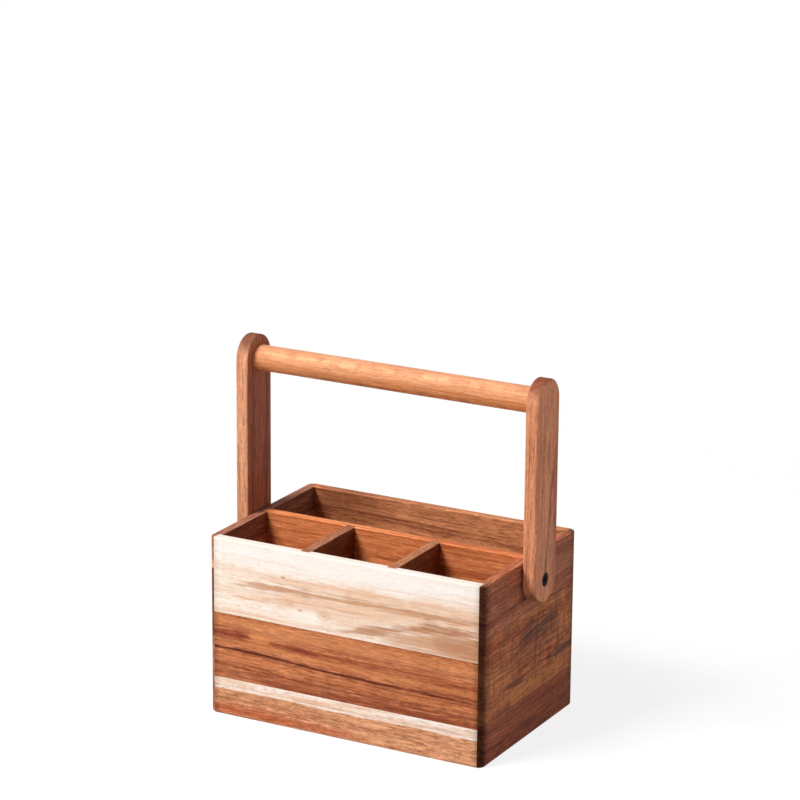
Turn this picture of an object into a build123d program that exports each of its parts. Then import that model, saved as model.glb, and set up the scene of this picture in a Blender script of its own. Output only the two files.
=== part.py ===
from build123d import *
import os

# Utensil caddy: a glued wooden box with four compartments and a swinging carrying handle.
# Millimetres. X runs along the front, Y to the back, Z up. The origin is at the middle of
# the footprint, on the table, and the front face looks along -Y.

# ---- driving dimensions ----

# box
box_length = 210.0          # along the front
box_depth = 138.0           # front to back
box_height = 127.0
wall = 7.2                  # board thickness of all four walls
corner_radius = 5.5         # upright corners, rounded after glueing up
rim_easing = 0.9            # outer top edges
foot_easing = 2.0           # outer bottom edges
lip_easing = 0.5            # inner top edges of walls and dividers

# corner joints: the side walls are rabbeted and lap the ends of the front and back walls
rabbet_lip = 4.0            # wood left outside the rabbet

# widths of the bottom and the top board of each wall; the middle one fills the rest
front_boards = (27.2, 53.1)
right_boards = (30.0, 36.5)
left_boards = (57.5, 22.5)
back_boards = (38.0, 43.0)

# floor, held in a groove round the walls
floor_thickness = 6.0
floor_lift = 4.0            # underside of the floor above the table
floor_groove = 3.0          # depth of the groove
floor_slack = 0.3           # room for the floor to swell, at its edges
floor_seam = 9.0            # the glue line between its two boards, behind mid-depth

# dividers, housed in dadoes
divider_thickness = 7.0
wall_dado = 3.0             # depth of the housings in the walls
cross_dado = 2.0            # depth of the housings in the long divider
cells = 3                   # compartments along the front
first_divider_shift = 1.7   # the left short divider stands this far right of its even place

# handle
arm_thickness = 9.3
arm_width = 31.8
arm_easing = 0.7            # chamfer along the arms' edges
arm_arris = 0.2             # taken off both edges of that chamfer
pivot_drop = 13.5           # pivots below the rim
pivot_to_grip = 122.5
grip_diameter = 17.8
grip_socket = 5.0           # depth of the blind sockets in the arms
socket_fit = 0.05           # radial room for glue
socket_slack = 0.3          # left at the bottom of each socket

# pivots
screw_shank = 4.5
screw_head = 9.2
screw_length = 32.0
screw_tip = 4.0
head_recess = 0.3           # the head sits this far below the arm's face
head_angle = 90.0
cross_length = 5.4          # cross recess in the head
cross_width = 1.1
cross_depth = 2.0
cross_taper = 12.0
washer_diameter = 12.0
washer_thickness = 0.7
pivot_play = 0.1            # between washer and arm
running_fit = 0.08          # radial, shank in the arm
screw_fit = 0.05            # radial, shank in the box

# ---- what follows from them ----

inner_length = box_length - 2 * wall
inner_depth = box_depth - 2 * wall
floor_top = floor_lift + floor_thickness
pivot_height = box_height - pivot_drop
divider_height = box_height - floor_top
cell_width = (inner_length - (cells - 1) * divider_thickness) / cells
cell_pitch = cell_width + divider_thickness
divider_places = [(number - (cells - 2) / 2) * cell_pitch for number in range(cells - 1)]
divider_places[0] += first_divider_shift
arm_inside = box_length / 2 + washer_thickness + pivot_play
arm_outside = arm_inside + arm_thickness
head_radius = screw_head / 2
shank_radius = screw_shank / 2
head_top = arm_outside - head_recess
screw_end = head_top - screw_length
pivot_axis = Axis((0, 0, pivot_height), (1, 0, 0))
nearby = 0.01               # how exactly an edge is found by its place

os.makedirs("parts", exist_ok=True)


def finish(piece, label):
    """Name a finished piece and write it."""
    piece.label = label
    export_step(piece, f"parts/{label}.step")


# ---- the four walls as one rounded frame, sawn into boards further down ----

with BuildPart() as wall_frame:
    with BuildSketch():
        RectangleRounded(box_length, box_depth, corner_radius)
    extrude(amount=box_height)
    fillet(wall_frame.faces().sort_by(Axis.Z)[-1].edges(), rim_easing)
    fillet(wall_frame.faces().sort_by(Axis.Z)[0].edges(), foot_easing)
    with BuildSketch():
        Rectangle(inner_length, inner_depth)
    extrude(amount=box_height, mode=Mode.SUBTRACT)
    fillet(wall_frame.faces().sort_by(Axis.Z)[-1].inner_wires()[0].edges(), lip_easing)
    # groove for the floor
    with BuildSketch(Plane.XY.offset(floor_lift)):
        Rectangle(inner_length + 2 * floor_groove, inner_depth + 2 * floor_groove)
    extrude(amount=floor_thickness, mode=Mode.SUBTRACT)
    # housings for the ends of the long divider, and for the short ones in the front wall
    with BuildSketch(Plane.XY.offset(floor_top)):
        Rectangle(inner_length + 2 * wall_dado, divider_thickness)
        with Locations([(place, -inner_depth / 2) for place in divider_places]):
            Rectangle(divider_thickness, 2 * wall_dado)
    extrude(amount=divider_height, mode=Mode.SUBTRACT)
    # holes for the pivot screws
    with BuildSketch(Plane.YZ):
        with Locations((0, pivot_height)):
            Circle(shank_radius + screw_fit)
    extrude(amount=box_length, both=True, mode=Mode.SUBTRACT)


def side_outline(side):
    """Plan of a side wall: full depth outside, rabbeted at both ends inside."""
    with Locations((side * (box_length - rabbet_lip) / 2, 0)):
        Rectangle(rabbet_lip, box_depth)
    with Locations((side * (box_length - rabbet_lip - wall) / 2, 0)):
        Rectangle(wall - rabbet_lip, inner_depth)


def end_outline(side):
    """Plan of the front or back wall: between the side walls' lips."""
    with Locations((0, side * (box_depth - wall) / 2)):
        Rectangle(box_length - 2 * rabbet_lip, wall)


walls = {
    "front": (end_outline, -1, front_boards),
    "back": (end_outline, 1, back_boards),
    "left": (side_outline, -1, left_boards),
    "right": (side_outline, 1, right_boards),
}

for wall_name, (outline, side, (bottom_width, top_width)) in walls.items():
    glue_lines = (bottom_width, box_height - top_width)
    heights = (0, *glue_lines, box_height)
    for board_name, low, high in zip(("bottom", "middle", "top"), heights, heights[1:]):
        with BuildPart() as board:
            with BuildSketch(Plane.XY.offset(low)):
                outline(side)
            extrude(amount=high - low)
            add(wall_frame.part, mode=Mode.INTERSECT)
        finish(board.part, f"{wall_name}_{board_name}_board")

# ---- floor: two boards edge to edge ----

floor_length = inner_length + 2 * (floor_groove - floor_slack)
floor_edge = inner_depth / 2 + floor_groove - floor_slack
floor_boards = {"floor_front_board": (-floor_edge, floor_seam), "floor_back_board": (floor_seam, floor_edge)}

for label, (near, far) in floor_boards.items():
    with BuildPart() as board:
        with BuildSketch(Plane.XY.offset(floor_lift)):
            with Locations((0, (near + far) / 2)):
                Rectangle(floor_length, far - near)
        extrude(amount=floor_thickness)
    finish(board.part, label)

# ---- dividers ----

with BuildPart() as long_divider:
    with BuildSketch(Plane.XY.offset(floor_top)):
        Rectangle(inner_length + 2 * wall_dado, divider_thickness)
    extrude(amount=divider_height)
    top_edges = long_divider.faces().sort_by(Axis.Z)[-1].edges().filter_by(Axis.X)
    fillet(top_edges, lip_easing)
    # housings for the short dividers
    with BuildSketch(Plane.XY.offset(floor_top)):
        with Locations([(place, -divider_thickness / 2) for place in divider_places]):
            Rectangle(divider_thickness, 2 * cross_dado)
    extrude(amount=divider_height, mode=Mode.SUBTRACT)
    # the pivot screws bite into its ends
    for way in (-1, 1):
        with BuildSketch(Plane.YZ.offset(way * screw_end)):
            with Locations((0, pivot_height)):
                Circle(shank_radius + screw_fit)
        extrude(amount=way * box_length, mode=Mode.SUBTRACT)
finish(long_divider.part, "long_divider")

short_near = -inner_depth / 2 - wall_dado
short_far = -divider_thickness / 2 + cross_dado

for number, place in enumerate(divider_places, start=1):
    with BuildPart() as short_divider:
        with BuildSketch(Plane.XY.offset(floor_top)):
            with Locations((place, (short_near + short_far) / 2)):
                Rectangle(divider_thickness, short_far - short_near)
        extrude(amount=divider_height)
        top_edges = short_divider.faces().sort_by(Axis.Z)[-1].edges().filter_by(Axis.Y)
        fillet(top_edges, lip_easing)
    finish(short_divider.part, f"short_divider_{number}")

# ---- handle ----

with BuildPart() as right_arm:
    with BuildSketch(Plane.YZ.offset(arm_inside)):
        with Locations((0, pivot_height + pivot_to_grip / 2)):
            SlotCenterToCenter(pivot_to_grip, arm_width, rotation=90)
    extrude(amount=arm_thickness)
    # both faces are chamfered all round, and the arrises of the chamfers taken off
    chamfer(right_arm.faces().filter_by(Axis.X).edges(), arm_easing)
    for loop in (arm_inside, arm_inside + arm_easing, arm_outside - arm_easing, arm_outside):
        arris = right_arm.edges().filter_by_position(Axis.X, loop - nearby, loop + nearby)
        chamfer(arris, arm_arris)
    # blind socket for the grip
    with BuildSketch(Plane.YZ.offset(arm_inside)):
        with Locations((0, pivot_height + pivot_to_grip)):
            Circle(grip_diameter / 2 + socket_fit)
    extrude(amount=grip_socket, mode=Mode.SUBTRACT)
    # countersunk bore for the pivot screw
    with Locations(Plane.YZ.offset(arm_outside)):
        with Locations((0, pivot_height)):
            CounterSinkHole(
                radius=shank_radius + running_fit,
                counter_sink_radius=head_radius + head_recess + running_fit,
                depth=arm_thickness,
                counter_sink_angle=head_angle,
            )
finish(right_arm.part, "right_arm")

with BuildPart() as left_arm:
    add(right_arm.part.mirror(Plane.YZ))
finish(left_arm.part, "left_arm")

with BuildPart() as grip:
    with BuildSketch(Plane.YZ):
        with Locations((0, pivot_height + pivot_to_grip)):
            Circle(grip_diameter / 2)
    extrude(amount=arm_inside + grip_socket - socket_slack, both=True)
finish(grip.part, "grip")

# ---- pivots ----

profile_plane = Plane(origin=pivot_axis.position, x_dir=(1, 0, 0), z_dir=(0, -1, 0))

with BuildPart() as right_screw:
    with BuildSketch(profile_plane):
        with BuildLine():
            Polyline(
                (head_top, 0),
                (head_top, head_radius),
                (head_top - head_radius + shank_radius, shank_radius),
                (screw_end + screw_tip, shank_radius),
                (screw_end, 0),
                close=True,
            )
        make_face()
    revolve(axis=pivot_axis)
    with BuildSketch(Plane.YZ.offset(head_top)):
        with Locations((0, pivot_height)):
            Rectangle(cross_length, cross_width)
            Rectangle(cross_width, cross_length)
    extrude(amount=-cross_depth, taper=cross_taper, mode=Mode.SUBTRACT)
finish(right_screw.part, "right_pivot_screw")

with BuildPart() as left_screw:
    add(right_screw.part.mirror(Plane.YZ))
finish(left_screw.part, "left_pivot_screw")

with BuildPart() as right_washer:
    with BuildSketch(Plane.YZ.offset(box_length / 2)):
        with Locations((0, pivot_height)):
            Circle(washer_diameter / 2)
            Circle(shank_radius + running_fit, mode=Mode.SUBTRACT)
    extrude(amount=washer_thickness)
finish(right_washer.part, "right_washer")

with BuildPart() as left_washer:
    add(right_washer.part.mirror(Plane.YZ))
finish(left_washer.part, "left_washer")
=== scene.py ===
import bpy
import math
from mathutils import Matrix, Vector

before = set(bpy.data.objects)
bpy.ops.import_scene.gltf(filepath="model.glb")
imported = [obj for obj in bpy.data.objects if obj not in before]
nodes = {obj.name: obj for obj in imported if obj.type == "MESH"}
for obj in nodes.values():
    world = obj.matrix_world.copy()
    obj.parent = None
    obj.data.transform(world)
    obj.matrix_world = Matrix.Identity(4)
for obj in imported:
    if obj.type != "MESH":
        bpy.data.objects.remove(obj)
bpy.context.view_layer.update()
print("caddy: frame loaded,", len(nodes), "pieces")


# short ways to write node trees

def shade(red, green, blue):  # 0-255 as a paint program gives them
    def linear(value):
        value = value / 255
        return value / 12.92 if value <= 0.04045 else ((value + 0.055) / 1.055) ** 2.4
    return (linear(red), linear(green), linear(blue), 1.0)


def feed(tree, node, inputs):
    for key, value in inputs.items():
        if isinstance(value, bpy.types.NodeSocket):
            tree.links.new(value, node.inputs[key])
        else:
            node.inputs[key].default_value = value
    return node


def put(tree, kind, inputs=None, **settings):
    node = tree.nodes.new("ShaderNode" + kind)
    for name, value in settings.items():
        setattr(node, name, value)
    return feed(tree, node, inputs or {})


def calc(tree, operation, a, b=0.0, c=0.0, clamp=False):
    return put(tree, "Math", {0: a, 1: b, 2: c}, operation=operation, use_clamp=clamp).outputs[0]


def vectorCalc(tree, operation, a, b=(0, 0, 0)):
    return put(tree, "VectorMath", {0: a, 1: b}, operation=operation).outputs[0]


def dot(tree, a, b):
    return put(tree, "VectorMath", {0: a, 1: b}, operation="DOT_PRODUCT").outputs["Value"]


def scaled(tree, vector, amount):  # a colour is a vector here too
    return put(tree, "VectorMath", {0: vector, "Scale": amount}, operation="SCALE").outputs[0]


def joined(tree, x, y, z):
    return put(tree, "CombineXYZ", {0: x, 1: y, 2: z}).outputs[0]


def split(tree, vector):
    return put(tree, "SeparateXYZ", {0: vector}).outputs


def surface(tree, socket):  # Object coordinates or the object's own Normal
    return put(tree, "TexCoord").outputs[socket]


def around(tree, mask, amount, base):  # how far a mask is from its middle, times amount, on top of base
    return calc(tree, "MULTIPLY_ADD", calc(tree, "SUBTRACT", mask, 0.5), amount, base)


def distance(tree, a, b):
    squares = [calc(tree, "MULTIPLY", value, value) for value in (a, b)]
    return calc(tree, "SQRT", calc(tree, "ADD", *squares))


def apart(tree, a, b):
    return calc(tree, "ABSOLUTE", calc(tree, "SUBTRACT", a, b))


def fade(tree, value, low, high, toLow=0.0, toHigh=1.0, smooth=True):
    limits = {"From Min": low, "From Max": high, "To Min": toLow, "To Max": toHigh}
    return put(tree, "MapRange", {"Value": value, **limits}, clamp=True,
               interpolation_type="SMOOTHSTEP" if smooth else "LINEAR").outputs[0]


def mixTone(tree, amount, under, over):
    return put(tree, "Mix", {0: amount, 6: under, 7: over}, data_type="RGBA").outputs[2]


def laidOn(tree, mask, amount, under, over):
    return mixTone(tree, calc(tree, "MULTIPLY", mask, amount), under, over)


def noise(tree, vector, stretch, detail, roughness):
    placed = vectorCalc(tree, "MULTIPLY", vector, stretch)
    inputs = {"Vector": placed, "Scale": 1.0, "Detail": detail, "Roughness": roughness}
    return put(tree, "TexNoise", inputs).outputs[0]


def lineNoise(tree, place, step, shift, detail, roughness):
    steps = calc(tree, "ADD", calc(tree, "DIVIDE", place, step), shift)
    inputs = {"W": steps, "Scale": 1.0, "Detail": detail, "Roughness": roughness}
    return put(tree, "TexNoise", inputs, noise_dimensions="1D").outputs[0]


socketKinds = {3: "NodeSocketVector", 4: "NodeSocketColor"}


def newGroup(name, takes, gives):
    tree = bpy.data.node_groups.new(name, "ShaderNodeTree")
    for label, value in takes.items():
        kind = socketKinds[len(value)] if isinstance(value, tuple) else "NodeSocketFloat"
        tree.interface.new_socket(label, in_out="INPUT", socket_type=kind).default_value = value
    for label in gives:
        kind = "NodeSocketColor" if label == "Color" else "NodeSocketFloat"
        tree.interface.new_socket(label, in_out="OUTPUT", socket_type=kind)
    return tree, tree.nodes.new("NodeGroupInput").outputs, tree.nodes.new("NodeGroupOutput")


def useGroup(tree, group, inputs):
    node = tree.nodes.new("ShaderNodeGroup")
    node.node_tree = group
    return feed(tree, node, inputs).outputs


# the wood, as groups shared by every board

maskNames = ("Bands", "Streaks", "Fibres", "Pores", "Flecks", "Threads", "Lines", "Ripples", "Drift")
inMillimetres = 1000
noSeam = -9.0  # a height below the table, where a board has no glue line
white, grey, black = (1, 1, 1, 1), (0.5, 0.5, 0.5, 1), (0, 0, 0, 1)

# a texture: how many of its features go on a millimetre along, across and through, then detail, roughness
sawnSetup = {
    "seedShift": (137.1, 71.7, 53.3), "seedStep": 17.3, "waver": 3.0, "smallSwayShare": 0.16,
    "wideSway": ((0.009, 0.030, 0.030), 1.0, 0.5), "smallSway": ((0.045, 0.11, 0.11), 2.0, 0.5),
    "bands": (2.0, 0.55), "streaks": ((0.018, 0.34, 0.10), 3.0, 0.6), "fibres": ((0.085, 0.95, 0.8), 4.0, 0.80),
    "pores": ((0.26, 2.3, 1.9), 1.0, 0.5), "poresFrom": 0.56, "poresTo": 0.68,
    "flecks": ((0.13, 0.85, 0.7), 3.0, 0.62), "flecksFrom": 0.53, "flecksTo": 0.66,
    "threads": ((0.028, 1.15, 0.35), 3.0, 0.62), "ripples": ((0.26, 0.05, 0.05), 3.0, 0.65),
    "drift": ((0.012, 0.035, 0.035), 1.0, 0.5),
    "lines": (1.0, 0.5), "lineGap": 1.7, "lineShift": 40.0, "linesFrom": 0.56, "linesTo": 0.72,
    "broken": ((0.018, 0.35, 0.1), 2.0, 0.5), "brokenFrom": 0.42, "brokenTo": 0.62,
}


def makeSawnGrain(setup):
    # Vector is in metres: X along the grain, Y across the board, Z through it
    tree, given, out = newGroup("sawnGrain", {
        "Vector": (0, 0, 0), "Seed": 1.0, "Pith Across": 0.0, "Pith Through": 60.0, "Waver": 3.0,
        "Run Out": 0.0, "Ring Gap": 5.0}, (*maskNames, "Along", "Level"))

    def masked(texture, value):
        return fade(tree, value, setup[texture + "From"], setup[texture + "To"])

    board = scaled(tree, given["Vector"], inMillimetres)
    shift = scaled(tree, setup["seedShift"], given["Seed"])
    inLog = vectorCalc(tree, "ADD", board, shift)
    along, across, through = split(tree, board)
    smallSway = noise(tree, inLog, *setup["smallSway"])
    wideSway = calc(tree, "SUBTRACT", noise(tree, inLog, *setup["wideSway"]), 0.5)
    sway = around(tree, smallSway, setup["smallSwayShare"], wideSway)
    swayed = calc(tree, "MULTIPLY_ADD", sway, calc(tree, "MULTIPLY", given["Waver"], setup["waver"]), across)
    level = calc(tree, "MULTIPLY_ADD", along, given["Run Out"], swayed)
    # the year rings are circles round the pith
    radius = distance(tree, calc(tree, "SUBTRACT", level, given["Pith Across"]),
                      calc(tree, "SUBTRACT", through, given["Pith Through"]))
    bent = vectorCalc(tree, "ADD", joined(tree, along, radius, through), shift)
    seedStep = calc(tree, "MULTIPLY", given["Seed"], setup["seedStep"])
    lineStep = calc(tree, "ADD", seedStep, setup["lineShift"])
    thin = lineNoise(tree, radius, setup["lineGap"], lineStep, *setup["lines"])
    broken = noise(tree, bent, *setup["broken"])
    feed(tree, out, {
        "Bands": lineNoise(tree, radius, given["Ring Gap"], seedStep, *setup["bands"]),
        "Streaks": noise(tree, bent, *setup["streaks"]),
        "Fibres": noise(tree, bent, *setup["fibres"]),
        "Pores": masked("pores", noise(tree, bent, *setup["pores"])),
        "Flecks": masked("flecks", noise(tree, bent, *setup["flecks"])),
        "Threads": noise(tree, bent, *setup["threads"]),
        "Lines": calc(tree, "MULTIPLY", masked("lines", thin), masked("broken", broken)),
        "Ripples": noise(tree, inLog, *setup["ripples"]),
        "Drift": noise(tree, inLog, *setup["drift"]),
        "Along": along, "Level": level})
    return tree


toneSetup = {"darkest": 0.15, "poreDepth": 0.6}


def makeOiledTone(setup):
    # turns the masks of sawnGrain into colour: three tones, then lines, fibres, flecks and pores over them
    tree, given, out = newGroup("oiledTone", {
        "Light": white, "Middle": grey, "Dark": black, "Line Tone": black,
        **{mask: 0.5 for mask in maskNames}, **{mask + " Amount": 0.5 for mask in maskNames}},
        ("Color", "Height"))
    tone = 0.5
    for mask in ("Bands", "Streaks", "Threads", "Drift"):
        tone = around(tree, given[mask], given[mask + " Amount"], tone)
    lower = mixTone(tree, calc(tree, "MULTIPLY", tone, 2.0, clamp=True), given["Dark"], given["Middle"])
    upper = mixTone(tree, calc(tree, "MULTIPLY_ADD", tone, 2.0, -1.0, clamp=True), lower, given["Light"])
    lined = laidOn(tree, given["Lines"], given["Lines Amount"], upper, given["Line Tone"])
    level = 1.0
    for mask in ("Fibres", "Ripples"):
        level = around(tree, given[mask], calc(tree, "MULTIPLY", given[mask + " Amount"], 2.0), level)
    colour = scaled(tree, lined, calc(tree, "MAXIMUM", level, setup["darkest"]))
    for mask in ("Flecks", "Pores"):
        colour = laidOn(tree, given[mask], given[mask + " Amount"], colour, given["Line Tone"])
    poreDepth = calc(tree, "MULTIPLY", given["Pores"], setup["poreDepth"])
    feed(tree, out, {"Color": colour, "Height": calc(tree, "SUBTRACT", given["Fibres"], poreDepth)})
    return tree


strokeSetup = {
    "blunt": 4.0, "endWidth": 0.25, "endFade": 0.6, "edge": 1.25, "threadTear": 4.5, "fibreTear": 1.6,
    "swellLength": 26.0, "swell": (2.0, 0.6), "swellAmount": 2.2, "swellMost": 3.5, "thinnest": 0.2,
}


def makeGrainStroke(setup):
    # one streak that runs with the grain: where it starts and ends, its height, slope, bow and thickness
    tree, given, out = newGroup("grainStroke", {
        "Along": 0.0, "Level": 0.0, "Threads": 0.5, "Fibres": 0.5, "Start": -50.0, "End": 50.0, "At": 0.0,
        "Slope": 0.0, "Bow": 0.0, "Thickness": 2.0, "Ragged": 0.6}, ("Mask",))
    middle = calc(tree, "MULTIPLY", calc(tree, "ADD", given["Start"], given["End"]), 0.5)
    half = calc(tree, "MULTIPLY", calc(tree, "SUBTRACT", given["End"], given["Start"]), 0.5)
    away = calc(tree, "SUBTRACT", given["Along"], middle)
    place = calc(tree, "DIVIDE", away, half)
    rise = calc(tree, "MULTIPLY_ADD", away, given["Slope"], given["At"])
    inside = calc(tree, "SUBTRACT", 1.0, calc(tree, "MULTIPLY", place, place))
    bowed = calc(tree, "MULTIPLY_ADD", inside, given["Bow"], rise)
    beside = apart(tree, given["Level"], bowed)
    blunted = calc(tree, "POWER", calc(tree, "ABSOLUTE", place), setup["blunt"])
    ends = calc(tree, "SUBTRACT", 1.0, blunted, clamp=True)
    swell = lineNoise(tree, given["Along"], setup["swellLength"], given["At"], *setup["swell"])
    swing = around(tree, swell, calc(tree, "MINIMUM", given["Thickness"], setup["swellMost"]), 0.0)
    swollen = calc(tree, "MULTIPLY_ADD", swing, setup["swellAmount"], given["Thickness"])
    width = calc(tree, "MAXIMUM", swollen, setup["thinnest"])
    taper = calc(tree, "MULTIPLY_ADD", ends, 1.0 - setup["endWidth"], setup["endWidth"])
    reach = calc(tree, "MULTIPLY", width, taper)
    fibreTear = around(tree, given["Fibres"], setup["fibreTear"], 0.0)
    uneven = around(tree, given["Threads"], setup["threadTear"], fibreTear)
    near = calc(tree, "MULTIPLY_ADD", uneven, given["Ragged"], calc(tree, "DIVIDE", beside, reach))
    body = calc(tree, "MULTIPLY", fade(tree, near, setup["edge"], 0.0),
                calc(tree, "POWER", ends, setup["endFade"]))
    feed(tree, out, {"Mask": body})
    return tree


knotSetup = {
    "pull": 9.0, "squeeze": 0.62, "unevenness": 1.6, "ringPace": 2.6, "ringSwing": 0.30, "ringMean": 0.45,
    "solidTo": 0.45, "heartTo": 0.9, "heartFrom": 0.2,
}


def makeKnot(setup):
    # a small knot: a tight whorl of rings in the face of a board
    tree, given, out = newGroup("smallKnot", {
        "Along": 0.0, "Level": 0.0, "Fibres": 0.5, "Place": 0.0, "At": 0.0, "Radius": 3.0}, ("Mask",))
    pulled = around(tree, given["Fibres"], setup["pull"], given["Along"])
    sideways = calc(tree, "MULTIPLY", calc(tree, "SUBTRACT", pulled, given["Place"]), setup["squeeze"])
    away = distance(tree, sideways, calc(tree, "SUBTRACT", given["Level"], given["At"]))
    uneven = around(tree, given["Fibres"], setup["unevenness"], away)
    wave = calc(tree, "SINE", calc(tree, "MULTIPLY", uneven, setup["ringPace"]))
    rings = calc(tree, "MULTIPLY_ADD", wave, setup["ringSwing"], setup["ringMean"])
    body = fade(tree, calc(tree, "DIVIDE", away, given["Radius"]), 1.0, setup["solidTo"])
    heart = fade(tree, uneven, setup["heartTo"], setup["heartFrom"])
    feed(tree, out, {"Mask": calc(tree, "MULTIPLY", body, calc(tree, "MAXIMUM", rings, heart))})
    return tree


finishSetup = {
    "endFrom": 0.10, "endTo": 0.75, "flatFrom": 0.995, "flatTo": 0.80,
    "patches": ((90, 90, 90), 3.0, 0.6), "patchesFrom": 0.38, "patchesTo": 0.62, "creepSwing": 7.0,
    "hairlineTo": 0.55, "hairlineFrom": 0.05, "hairlinePatches": 0.6, "hairlineLeast": 0.5,
    "roughness": 0.66, "fibreGloss": -0.20, "patchGloss": -0.05, "endRoughness": 0.12,
}


def makeFinishAndEdgeHighlight(setup):
    # end grain drinks the oil and goes dark, glue lines show as hairlines, eased edges are made paler, partly
    # as wear and partly as a painted highlight
    tree, given, out = newGroup("finishAndEdgeHighlight", {
        "Color": grey, "Fibres": 0.5, "Vector": (0, 0, 0), "Along": 0.0, "Grain Direction": (1, 0, 0),
        "End Depth": 0.6, "End Place": 1000.0, "End Reach": 6.0, "Soaked": 0.0, "Low Seam": noSeam,
        "High Seam": noSeam, "Seam Depth": 0.4, "WearAndHighlight": 0.2}, ("Color", "Roughness"))
    facing = vectorCalc(tree, "ABSOLUTE", surface(tree, "Normal"))
    ends = fade(tree, dot(tree, facing, given["Grain Direction"]), setup["endFrom"], setup["endTo"])
    sides = split(tree, facing)
    flat = calc(tree, "MAXIMUM", calc(tree, "MAXIMUM", sides[0], sides[1]), sides[2])
    eased = fade(tree, flat, setup["flatFrom"], setup["flatTo"])
    cloud = noise(tree, given["Vector"], *setup["patches"])
    patches = fade(tree, cloud, setup["patchesFrom"], setup["patchesTo"])
    # eased edges made paler: partly wear, partly a painted highlight
    wearAndHighlight = calc(tree, "MULTIPLY", calc(tree, "MULTIPLY", eased, patches), given["WearAndHighlight"])
    paler = scaled(tree, given["Color"], calc(tree, "ADD", wearAndHighlight, 1.0))
    endDarkening = calc(tree, "MULTIPLY", ends, given["End Depth"])
    drunk = scaled(tree, paler, calc(tree, "SUBTRACT", 1.0, endDarkening))
    # the oil also creeps in from the ends
    fromEnd = calc(tree, "SUBTRACT", given["End Place"], calc(tree, "ABSOLUTE", given["Along"]))
    unevenEnd = around(tree, given["Fibres"], setup["creepSwing"], fromEnd)
    crept = calc(tree, "MULTIPLY", fade(tree, unevenEnd, given["End Reach"], 0.0), given["Soaked"])
    creptTone = scaled(tree, drunk, calc(tree, "SUBTRACT", 1.0, crept))
    height = calc(tree, "MULTIPLY", split(tree, given["Vector"])[2], inMillimetres)
    nearSeam = calc(tree, "MINIMUM", apart(tree, height, given["Low Seam"]),
                    apart(tree, height, given["High Seam"]))
    filled = calc(tree, "MULTIPLY_ADD", patches, setup["hairlinePatches"], setup["hairlineLeast"])
    hairline = calc(tree, "MULTIPLY", fade(tree, nearSeam, setup["hairlineTo"], setup["hairlineFrom"]),
                    calc(tree, "MULTIPLY", given["Seam Depth"], filled))
    seamed = scaled(tree, creptTone, calc(tree, "SUBTRACT", 1.0, hairline))
    roughness = setup["roughness"]
    for mask, amount in ((given["Fibres"], "fibreGloss"), (patches, "patchGloss"), (ends, "endRoughness")):
        roughness = calc(tree, "MULTIPLY_ADD", mask, setup[amount], roughness)
    feed(tree, out, {"Color": seamed, "Roughness": roughness})
    return tree


sawnGrain = makeSawnGrain(sawnSetup)
oiledTone = makeOiledTone(toneSetup)
grainStroke = makeGrainStroke(strokeSetup)
smallKnot = makeKnot(knotSetup)
finishAndEdgeHighlight = makeFinishAndEdgeHighlight(finishSetup)
print("caddy: wood groups ready")

# which of X, Y, Z run along, across and through a board, by the way its grain runs
boardAxes = {"X": (0, 2, 1), "Y": (1, 2, 0), "Z": (2, 1, 0), "flat": (0, 1, 2)}
grainDirections = {"X": (1, 0, 0), "Y": (0, 1, 0), "Z": (0, 0, 1), "flat": (1, 0, 0)}
strokeParts = ("Start", "End", "At", "Slope", "Bow", "Thickness", "Ragged")
knotParts = ("Place", "At", "Radius")
woodSetup = {"strokeTexture": 1.6, "turnedFrom": 0.55, "turnedTo": 0.95, "bump": 0.4, "bumpDepth": 0.0002}


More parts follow.
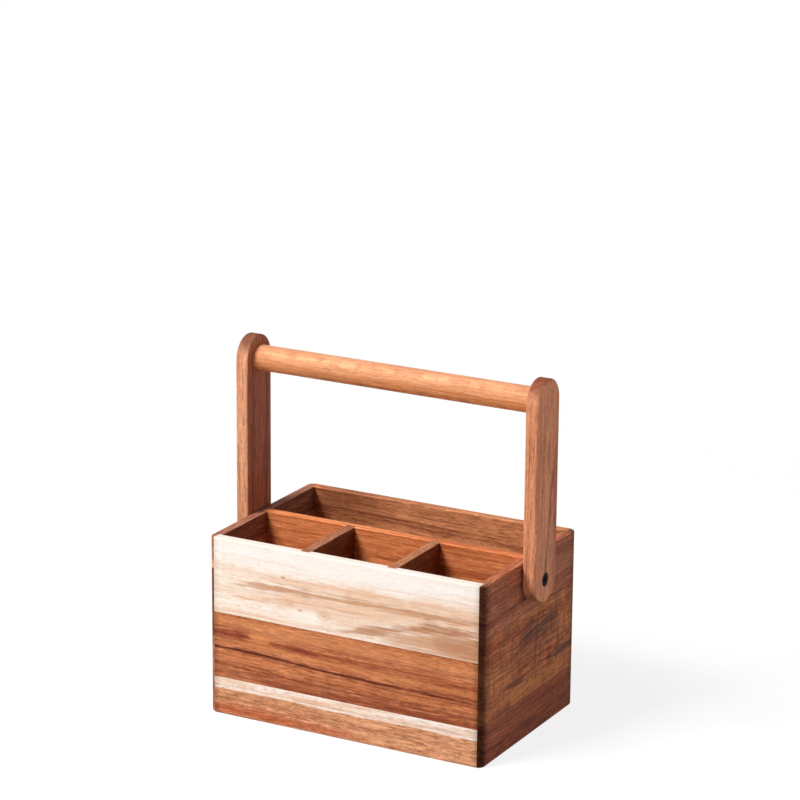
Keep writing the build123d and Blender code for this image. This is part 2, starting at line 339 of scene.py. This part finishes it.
def makeWood(name, look, setup):
    material = bpy.data.materials.new(name)
    material.use_nodes = True
    tree = material.node_tree
    tree.nodes.clear()
    place = surface(tree, "Object")
    xyz = split(tree, place)
    along, across, through = (xyz[axis] for axis in boardAxes[look["grain"]])
    grain = useGroup(tree, sawnGrain, {
        "Vector": joined(tree, along, across, through), "Seed": look["seed"], "Pith Across": look["pith"][0],
        "Pith Through": look["pith"][1], "Waver": look["waver"], "Run Out": look["runOut"],
        "Ring Gap": look["ringGap"]})
    colour = height = None
    for tones in (look, *look.get("bandsOfSapwood", ())):
        tone = useGroup(tree, oiledTone, {
            "Light": shade(*tones["light"]), "Middle": shade(*tones["middle"]), "Dark": shade(*tones["dark"]),
            "Line Tone": shade(*tones["lineTone"]), **{mask: grain[mask] for mask in maskNames},
            **{mask + " Amount": tones[mask.lower()] for mask in maskNames}})
        if colour is None:
            colour, height = tone["Color"], tone["Height"]
        else:
            low, high, soft = tones["span"]
            ragged = around(tree, grain["Streaks"], tones["ragged"], grain["Level"])
            inside = calc(tree, "MULTIPLY", fade(tree, ragged, low - soft, low + soft),
                          fade(tree, ragged, high + soft, high - soft))
            colour = mixTone(tree, inside, colour, tone["Color"])
    texture = around(tree, grain["Fibres"], setup["strokeTexture"] * look["fibres"], 1.0)
    onBoard = {label: grain[label] for label in ("Along", "Level", "Fibres")}
    for *numbers, depth, strokeTone in look["strokes"]:
        mask = useGroup(tree, grainStroke, {
            **onBoard, "Threads": grain["Threads"], **dict(zip(strokeParts, numbers))})["Mask"]
        colour = laidOn(tree, mask, depth, colour, scaled(tree, shade(*strokeTone)[:3], texture))
    for *numbers, depth, knotTone in look["knots"]:
        mask = useGroup(tree, smallKnot, {**onBoard, **dict(zip(knotParts, numbers))})["Mask"]
        colour = laidOn(tree, mask, depth, colour, shade(*knotTone))
    # tint each face by the way it is turned: painted light and shade on most pieces, and darker end grain on
    # the arms' tops
    for direction, tint in look["faces"]:
        turned = dot(tree, surface(tree, "Normal"), direction)
        onFace = fade(tree, turned, setup["turnedFrom"], setup["turnedTo"])
        colour = mixTone(tree, onFace, colour, vectorCalc(tree, "MULTIPLY", colour, tint))
    finish = useGroup(tree, finishAndEdgeHighlight, {
        "Color": colour, "Fibres": grain["Fibres"], "Vector": place, "Along": grain["Along"],
        "Grain Direction": grainDirections[look["grain"]], "End Depth": look["endDepth"],
        "End Place": look["endPlace"], "End Reach": look["endReach"], "Soaked": look["soaked"],
        "Low Seam": look["seams"][0], "High Seam": look["seams"][1], "Seam Depth": look["seamDepth"],
        "WearAndHighlight": look["wearAndHighlight"]})
    bump = put(tree, "Bump", {"Strength": setup["bump"], "Distance": setup["bumpDepth"], "Height": height})
    shader = put(tree, "BsdfPrincipled", {
        "Base Color": finish["Color"], "Roughness": finish["Roughness"], "Normal": bump.outputs[0],
        "Specular IOR Level": look["shine"]})
    feed(tree, put(tree, "OutputMaterial"), {"Surface": shader.outputs[0]})
    return material


toneSteps = {"light": (26, 27, 24), "middle": (0, 0, 0), "dark": (-40, -38, -28)}
lineShares = (0.46, 0.34, 0.36)  # how much of the middle tone is left in the thin dark lines


def tonesAround(red, green, blue, spread=1.0):
    middle = (red, green, blue)
    tones = {name: tuple(value + step * spread for value, step in zip(middle, steps))
             for name, steps in toneSteps.items()}
    return {**tones, "lineTone": tuple(value * share for value, share in zip(middle, lineShares))}


# how each board was cut and what colour it is, with painted light and shade on some faces; lengths in
# millimetres, seams are the heights of its glue lines
# a stroke: start, end, at, slope, bow, thickness, ragged, depth, tone; a knot: place, at, radius, depth, tone
plain = {
    "pith": (-60, 40), "waver": 3.0, "runOut": 0.0, "ringGap": 9.0,
    "bands": 0.9, "streaks": 1.2, "threads": 1.3, "drift": 0.8, "lines": 0.4, "fibres": 1.2, "pores": 0.4,
    "flecks": 0.35, "ripples": 0.0, "strokes": (), "knots": (), "faces": (), "wearAndHighlight": 0.35, "shine": 0.06,
    "endDepth": 0.45, "endPlace": 1000.0, "endReach": 6.0, "soaked": 0.0,
    "seams": (noSeam, noSeam), "seamDepth": 0.4,
}
upward, downward, rightward, downForward = (0, 0, 1), (0, 0, -1), (1, 0, 0), (0, -0.7, -0.7)
# painted light: faces turned up are made paler, as if lit from above
paintedTopLight = (upward, (1.16, 1.12, 1.08))
frontBoard = {**plain, "grain": "X", "endPlace": 101.0, "endReach": 5.0, "soaked": 0.35, "faces": (paintedTopLight,)}
sideBoard = {**plain, "grain": "Y", "endPlace": 69.0, "endReach": 14.0, "soaked": 0.6, "endDepth": 0.62,
             "fibres": 1.5, "faces": (paintedTopLight,)}
# painted shade: the left boards' faces turned right, into the cells, are darkened
leftBoard = {**sideBoard, "soaked": 0.1, "endDepth": 0.12, "faces": (paintedTopLight, (rightward, (0.62, 0.50, 0.45)))}
# painted shade for the short dividers: faces turned right, into the cells, are made much darker, and their tops
# somewhat darker
paintedCellShade = ((upward, (0.80, 0.72, 0.68)), (rightward, (0.44, 0.32, 0.27)))
creamTones = {
    "light": (251, 243, 236), "middle": (247, 230, 214), "dark": (236, 202, 174), "lineTone": (222, 160, 112)}

looks = {
    "front_top_board": {
        **frontBoard, **creamTones, "seed": 1.0, "pith": (190, 60), "waver": 1.2, "ringGap": 7.0,
        "bands": 0.5, "streaks": 1.0, "drift": 0.3, "lines": 0.5, "fibres": 0.2, "pores": 0.3,
        "flecks": 0.3, "soaked": 0.18, "faces": (),
        "strokes": [
            (-150, 150, 121, 0.0, 0.0, 14.0, 0.2, 0.75, (251, 244, 238)),
            (-75, 180, 95, 0.02, 2.0, 16.0, 0.35, 0.72, (230, 184, 148)),
            (-85, 115, 102.5, 0.0, 5.0, 2.2, 0.5, 0.55, (228, 174, 132)),
            (-90, 62, 97.0, 0.022, 3.2, 3.2, 0.7, 0.80, (194, 140, 100)),
            (30, 125, 100.0, 0.03, 0.0, 2.8, 0.7, 0.78, (192, 136, 98)),
            (-4, 88, 83.5, 0.150, 2.4, 3.4, 0.7, 0.82, (178, 118, 80)),
            (55, 100, 92.0, -0.01, 0.0, 4.6, 0.7, 0.80, (168, 106, 70)),
            (25, 165, 80.5, 0.02, 0.0, 12.0, 0.35, 0.80, (198, 140, 98)),
            (66, 150, 84.0, 0.0, 0.0, 14.0, 0.5, 0.55, (176, 112, 74)),
            (-88, -30, 88.0, 0.02, 0.0, 1.6, 0.8, 0.50, (214, 152, 104)),
            (-60, 20, 91.5, 0.01, 0.0, 1.2, 0.8, 0.45, (210, 150, 106)),
            (-44, -14, 83.5, 0.0, 0.0, 4.5, 0.4, 0.75, (253, 243, 231))],
        "knots": [(-15, 85.3, 4.2, 0.65, (206, 150, 108)), (-47.5, 108.2, 1.6, 0.8, (206, 146, 96)),
                  (-34, 86.3, 1.5, 0.7, (205, 140, 92))]},
    "front_middle_board": {
        **frontBoard, **tonesAround(194, 117, 76), "seed": 2.0, "pith": (-90, 50), "waver": 1.4,
        "ringGap": 8.0, "runOut": 0.008, "seams": (27.2, 73.9), "seamDepth": 0.25,
        "strokes": [
            (-130, 130, 52.8, -0.008, 0.0, 2.6, 0.5, 0.55, (216, 142, 88)),
            (-130, 130, 41.5, -0.01, 0.0, 3.4, 0.6, 0.20, (206, 130, 78)),
            (-140, 140, 66.5, 0.0, 0.0, 6.0, 0.5, 0.45, (222, 150, 100)),
            (-74, -56, 60.0, 0.0, 0.0, 3.6, 0.6, 0.65, (220, 150, 88)),
            (-108, -72, 57.8, 0.0, 0.0, 4.0, 0.6, 0.80, (128, 52, 38)),
            (-58, -18, 57.4, -0.01, 0.0, 3.6, 0.6, 0.80, (128, 52, 38)),
            (-30, 130, 56.4, -0.01, 0.0, 3.0, 0.7, 0.40, (146, 70, 46)),
            (-140, 140, 46.9, -0.0097, 0.0, 3.4, 0.6, 0.45, (138, 66, 44)),
            (-140, 140, 46.8, -0.0097, 0.0, 1.15, 0.8, 0.90, (74, 32, 28)),
            (-130, 130, 35.2, -0.008, 0.0, 2.6, 0.7, 0.60, (112, 52, 36)),
            (-130, 130, 29.2, 0.0, 0.0, 3.2, 0.6, 0.55, (124, 60, 42)),
            (-140, 140, 31.5, 0.0, 0.0, 7.0, 0.5, 0.35, (140, 72, 48)),
            (-160, 140, 69.5, 0.0, 0.0, 3.0, 0.7, 0.35, (214, 138, 84)),
            (-40, 140, 62.5, -0.01, 0.0, 1.4, 0.9, 0.35, (146, 76, 50))]},
    "front_bottom_board": {
        **frontBoard, **tonesAround(211, 149, 109, 0.8), "seed": 5.0, "waver": 1.2, "streaks": 1.5,
        "flecks": 0.5, "lineTone": (128, 58, 34),
        "bandsOfSapwood": [{
            **plain, "light": (252, 246, 240), "middle": (248, 233, 218), "dark": (232, 194, 164),
            "lineTone": (210, 140, 100), "span": (19.4, 40.0, 0.5), "ragged": 4.0, "fibres": 0.3,
            "streaks": 2.0, "pores": 0.35, "flecks": 0.4, "lines": 0.55}],
        "strokes": [
            (10, 160, 22.5, 0.0, 0.0, 3.2, 0.7, 0.35, (214, 162, 128)),
            (-150, 20, 4.0, 0.0, 0.0, 6.0, 0.6, 0.72, (174, 78, 42)),
            (-140, 90, 12.0, 0.0, 0.0, 2.2, 0.8, 0.35, (160, 92, 60))]},
    "right_top_board": {
        **sideBoard, **tonesAround(170, 98, 68, 0.8), "seed": 6.0, "ringGap": 6.0, "lines": 0.55,
        "seams": (90.5, noSeam),
        "strokes": [
            (-75, 40, 113, 0.0, 0.0, 2.4, 0.7, 0.45, (96, 52, 40)),
            (-60, 75, 101, 0.01, 0.0, 2.0, 0.7, 0.45, (92, 50, 38)),
            (20, 110, 108, 0.0, 0.0, 12.0, 0.5, 0.35, (190, 128, 98))]},
    "right_middle_board": {
        **sideBoard, **tonesAround(180, 104, 64, 1.0), "seed": 7.0, "waver": 4.0, "ripples": 1.1,
        "lines": 0.5, "seams": (30.0, 90.5),
        "strokes": [
            (-90, 80, 37.0, 0.0, 0.0, 5.0, 0.6, 0.60, (210, 132, 76)),
            (-80, -20, 62.0, 0.0, 0.0, 12.0, 0.6, 0.35, (202, 126, 76)),
            (-22, 44, 74.0, 0.0, 0.0, 9.0, 0.8, 0.90, (80, 44, 38)),
            (-50, 50, 64.0, 0.0, 0.0, 11.0, 0.8, 0.45, (104, 60, 46)),
            (-42, -6, 46.5, 0.02, 0.0, 3.8, 0.8, 0.80, (82, 46, 38)),
            (8, 84, 47.5, 0.0, 0.0, 3.2, 0.7, 0.85, (76, 42, 36)),
            (-60, -26, 34.0, 0.0, 0.0, 4.2, 1.0, 0.60, (96, 50, 38)),
            (-80, 90, 86.0, 0.0, 0.0, 3.0, 0.7, 0.35, (196, 126, 78))]},
    "right_bottom_board": {
        **sideBoard, **tonesAround(156, 82, 53, 0.6), "seed": 8.0, "ringGap": 5.0, "lines": 0.7,
        "streaks": 1.5, "seams": (noSeam, 30.0)},
    "left_top_board": {
        **leftBoard, **tonesAround(172, 116, 92, 0.8), "seed": 9.0, "seams": (104.5, noSeam),
        "bandsOfSapwood": [{
            **plain, "light": (240, 188, 152), "middle": (226, 168, 132), "dark": (196, 132, 98),
            "lineTone": (150, 84, 56), "span": (60.0, 109.8, 0.8), "ragged": 5.0, "fibres": 0.6,
            "pores": 0.4}]},
    "left_middle_board": {
        **leftBoard, **tonesAround(132, 78, 58, 0.6), "seed": 10.0, "lines": 0.6, "seams": (57.5, 104.5),
        "strokes": [
            (-90, 60, 84.0, 0.01, 0.0, 3.0, 0.7, 0.50, (84, 44, 34)),
            (-50, 90, 70.0, 0.0, 0.0, 5.0, 0.7, 0.40, (168, 104, 74))]},
    "left_bottom_board": {
        **leftBoard, **tonesAround(182, 120, 90, 0.9), "seed": 11.0, "seams": (noSeam, 57.5),
        "strokes": [
            (-90, 90, 40.0, 0.02, 3.0, 3.0, 0.8, 0.50, (120, 66, 46)),
            (-80, 30, 18.0, -0.02, 0.0, 5.0, 0.7, 0.40, (140, 80, 54))]},
    "back_top_board": {
        **frontBoard, **tonesAround(212, 137, 92, 0.9), "seed": 12.0, "seams": (84.0, noSeam),
        "lines": 0.55, "wearAndHighlight": 0.8,
        "strokes": [
            (-130, 130, 104.5, 0.006, 0.0, 3.0, 0.6, 0.50, (222, 156, 104)),
            (-110, 60, 113.0, 0.0, 0.0, 1.4, 0.9, 0.60, (112, 60, 42)),
            (-60, 130, 109.0, -0.01, 0.0, 1.6, 0.9, 0.60, (116, 62, 42)),
            (-100, 80, 104.0, 0.0, 0.0, 1.2, 0.9, 0.50, (112, 60, 42)),
            (-20, 120, 97.0, 0.0, 0.0, 3.0, 0.7, 0.50, (222, 152, 96))]},
    "back_middle_board": {
        **frontBoard, **tonesAround(176, 104, 66, 0.9), "seed": 13.0, "seams": (38.0, 84.0),
        "strokes": [
            (-130, 130, 66.0, 0.012, 2.0, 2.2, 0.8, 0.65, (96, 44, 32)),
            (-100, 60, 52.0, 0.0, 0.0, 5.0, 0.6, 0.40, (206, 134, 84))]},
    "back_bottom_board": {
        **frontBoard, **tonesAround(158, 98, 66, 0.9), "seed": 14.0, "ripples": 0.35,
        "seams": (noSeam, 38.0),
        "strokes": [(-40, 70, 20.0, 0.0, 0.0, 5.0, 0.9, 0.60, (92, 52, 40))]},
    "floor_front_board": {**plain, **tonesAround(176, 110, 74), "grain": "flat", "seed": 15.0,
                          "pith": (-30, 60)},
    "floor_back_board": {**plain, **tonesAround(168, 98, 62), "grain": "flat", "seed": 16.0,
                         "pith": (90, 60)},
    "long_divider": {
        **plain, **tonesAround(218, 130, 79, 0.9), "grain": "X", "seed": 17.0, "pith": (60, 30),
        "waver": 1.6, "lineTone": (140, 56, 28), "pores": 0.35, "flecks": 0.2, "fibres": 0.9, "wearAndHighlight": 0.7,
        # painted light: the top is made paler and brighter
        "faces": ((upward, (1.24, 1.30, 1.34)),),
        "strokes": [
            (-110, 110, 116.5, 0.0, 0.0, 2.0, 0.8, 0.45, (190, 98, 56)),
            (-20, 110, 109.0, 0.0, 0.0, 3.2, 0.8, 0.65, (158, 72, 42)),
            (-110, -30, 107.0, 0.0, 0.0, 2.0, 0.8, 0.45, (186, 94, 52))]},
    "short_divider_1": {**plain, **tonesAround(178, 118, 84, 0.8), "grain": "Y", "seed": 18.0,
                        "pith": (30, 20), "faces": paintedCellShade},
    "short_divider_2": {**plain, **tonesAround(200, 138, 98, 0.8), "grain": "Y", "seed": 19.0,
                        "pith": (50, 15), "faces": paintedCellShade},
    "left_arm": {
        **plain, **tonesAround(214, 149, 112, 0.9), "grain": "Z", "seed": 20.0, "pith": (-44, -120),
        "waver": 2.0, "ringGap": 5.0, "endDepth": 0.62, "fibres": 0.8, "flecks": 0.15, "bands": 0.5,
        # painted shade on the face turned right, towards the other arm; the darker reddish top is its end grain
        "drift": 0.4, "faces": ((rightward, (0.68, 0.50, 0.49)), (upward, (0.98, 0.74, 0.74))),
        "strokes": [
            (100, 250, -9.0, 0.0, 0.0, 3.4, 0.6, 0.45, (112, 60, 46)),
            (100, 250, 9.0, 0.01, 0.0, 4.0, 0.6, 0.45, (112, 60, 46)),
            (120, 190, -0.5, 0.0, 0.0, 0.6, 0.3, 0.80, (214, 142, 100))]},
    "right_arm": {
        **plain, **tonesAround(216, 142, 103, 0.7), "grain": "Z", "seed": 21.0, "pith": (-40, 130),
        "waver": 1.6, "ringGap": 6.0, "streaks": 1.2, "fibres": 0.7, "flecks": 0.12, "endDepth": 0.60,
        # the darker reddish top is its end grain; painted sheen brightens the outer face, turned right
        "faces": ((upward, (0.98, 0.74, 0.74)), (rightward, (1.08, 1.06, 1.10))),
        "strokes": [
            (90, 214, 13.0, 0.02, 0.0, 8.0, 0.5, 0.50, (156, 92, 74)),
            (92, 205, 4.8, 0.130, -1.8, 2.0, 0.5, 0.62, (104, 56, 46)),
            (150, 235, -6.0, 0.0, 0.0, 1.2, 0.8, 0.40, (140, 84, 66)),
            (185, 215, 2.0, 0.05, 0.0, 3.5, 0.9, 0.40, (134, 82, 62))]},
    "grip": {
        **plain, **tonesAround(219, 148, 102, 0.7), "grain": "X", "seed": 22.0, "pith": (-180, 20),
        "waver": 1.2, "ringGap": 5.0, "lineTone": (158, 82, 42), "fibres": 0.4, "pores": 0.4,
        "flecks": 0.25, "bands": 0.3, "drift": 0.25, "streaks": 0.6, "threads": 1.7, "lines": 0.7,
        "shine": 0.25,
        # painted highlight on the top, painted shade on the lower front and the underside
        "faces": ((upward, (1.04, 1.06, 1.16)), (downForward, (0.98, 0.84, 0.66)),
                  (downward, (0.92, 0.74, 0.62)))},
}

for name, look in looks.items():
    nodes[name].data.materials.clear()
    nodes[name].data.materials.append(makeWood(name + "Wood", look, woodSetup))
print("caddy: boards, dividers and handle finished in wood")

# screws and washers: one plain tone with a fine speckle
plainSetup = {"speckle": ((900, 900, 900), 3.0, 0.6), "speckleFrom": 0.3, "speckleTo": 0.7, "lighter": 1.5,
              "uneven": 0.1, "shine": 0.03}
smallParts = {
    "_pivot_screw": {"finish": "ScrewBlack", "colour": (15, 10, 10), "roughness": 0.5},
    "_washer": {"finish": "WasherNylon", "colour": (24, 20, 18), "roughness": 0.6},
}


def makePlain(name, part, setup):
    material = bpy.data.materials.new(name)
    material.use_nodes = True
    tree = material.node_tree
    tree.nodes.clear()
    speckle = noise(tree, surface(tree, "Object"), *setup["speckle"])
    lighter = shade(*[value * setup["lighter"] for value in part["colour"]])
    roughness = fade(tree, speckle, setup["speckleFrom"], setup["speckleTo"],
                     part["roughness"] - setup["uneven"], part["roughness"] + setup["uneven"])
    shader = put(tree, "BsdfPrincipled", {
        "Base Color": mixTone(tree, speckle, shade(*part["colour"]), lighter), "Roughness": roughness,
        "Specular IOR Level": setup["shine"]})
    feed(tree, put(tree, "OutputMaterial"), {"Surface": shader.outputs[0]})
    return material


for side in ("left", "right"):
    for suffix, part in smallParts.items():
        nodes[side + suffix].data.materials.clear()
        nodes[side + suffix].data.materials.append(makePlain(side + part["finish"], part, plainSetup))
print("caddy: screws and washers finished")


# floor, light and camera

def seenDirectly(tree):  # by the camera, or in gloss or glass
    ray = put(tree, "LightPath").outputs
    seen = calc(tree, "MAXIMUM", ray["Is Camera Ray"], ray["Is Glossy Ray"])
    return calc(tree, "MAXIMUM", seen, ray["Is Transmission Ray"])


stageSetup = {"halfSize": 4.0, "bounce": 0.65, "shown": 0.20, "lift": 0.84, "fadeFrom": 0.30, "fadeTo": 0.90}


def makeStage(setup):
    for item in bpy.context.selected_objects:
        item.select_set(False)
    bpy.ops.mesh.primitive_plane_add(size=2 * setup["halfSize"], location=(0, 0, 0))
    floor = bpy.context.object
    floor.name = "studioFloor"
    material = bpy.data.materials.new("paleFloor")
    material.use_nodes = True
    tree = material.node_tree
    tree.nodes.clear()
    seen = seenDirectly(tree)
    away = put(tree, "VectorMath", {0: surface(tree, "Object")}, operation="LENGTH").outputs["Value"]
    # the camera sees a paler floor than the one that throws light back on the box
    tint = fade(tree, seen, 0.0, 1.0, setup["bounce"], setup["shown"], smooth=False)
    lit = put(tree, "BsdfDiffuse", {"Color": tint}).outputs[0]
    lift = put(tree, "Emission", {"Strength": calc(tree, "MULTIPLY", seen, setup["lift"])}).outputs[0]
    near = put(tree, "AddShader", {0: lit, 1: lift}).outputs[0]
    whiteFar = put(tree, "Emission", {"Strength": 1.0}).outputs[0]
    far = calc(tree, "MULTIPLY", fade(tree, away, setup["fadeFrom"], setup["fadeTo"]), seen)
    feed(tree, put(tree, "OutputMaterial"), {
        "Surface": put(tree, "MixShader", {0: far, 1: near, 2: whiteFar}).outputs[0]})
    floor.data.materials.append(material)


lampSetup = {
    "softKey": {"place": (-1.00, -1.50, 2.15), "aim": (0, 0, 0.10), "size": (1.15, 0.9), "watts": 90.0},
    "rearFill": {"place": (1.7, 0.5, 0.8), "aim": (0, 0, 0.12), "size": (1.3, 1.0), "watts": 6.5},
}


def makeLamps(setup):
    for name, lamp in setup.items():
        bpy.ops.object.light_add(type="AREA", location=lamp["place"])
        light = bpy.context.object
        light.name = name
        light.data.shape = "RECTANGLE"
        light.data.size, light.data.size_y = lamp["size"]
        light.data.energy = lamp["watts"]
        ahead = Vector(lamp["aim"]) - Vector(lamp["place"])
        light.rotation_euler = ahead.to_track_quat("-Z", "Y").to_euler()


airSetup = {"ambient": 0.11, "shown": 1.0}  # the object is lit by the first, and stands before the second


def makeWorld(setup):
    world = bpy.data.worlds.new("studioAir")
    bpy.context.scene.world = world
    world.use_nodes = True
    tree = world.node_tree
    tree.nodes.clear()
    strength = fade(tree, seenDirectly(tree), 0.0, 1.0, setup["ambient"], setup["shown"], smooth=False)
    air = put(tree, "Background", {"Color": white, "Strength": strength})
    feed(tree, put(tree, "OutputWorld"), {"Surface": air.outputs[0]})


cameraSetup = {
    "place": (1.01880, -1.87388, 0.84401), "turn": (73.7142, -0.4756, 28.5754), "lens": 148.91, "sensor": 36.0}


def makeCamera(setup):
    turn = [math.radians(angle) for angle in setup["turn"]]
    bpy.ops.object.camera_add(location=setup["place"], rotation=turn)
    camera = bpy.context.object
    camera.data.lens = setup["lens"]
    camera.data.sensor_width = setup["sensor"]
    bpy.context.scene.camera = camera


makeStage(stageSetup)
makeLamps(lampSetup)
makeWorld(airSetup)
makeCamera(cameraSetup)
bpy.context.scene.view_settings.view_transform = "Standard"
print("caddy: floor, light and camera ready")
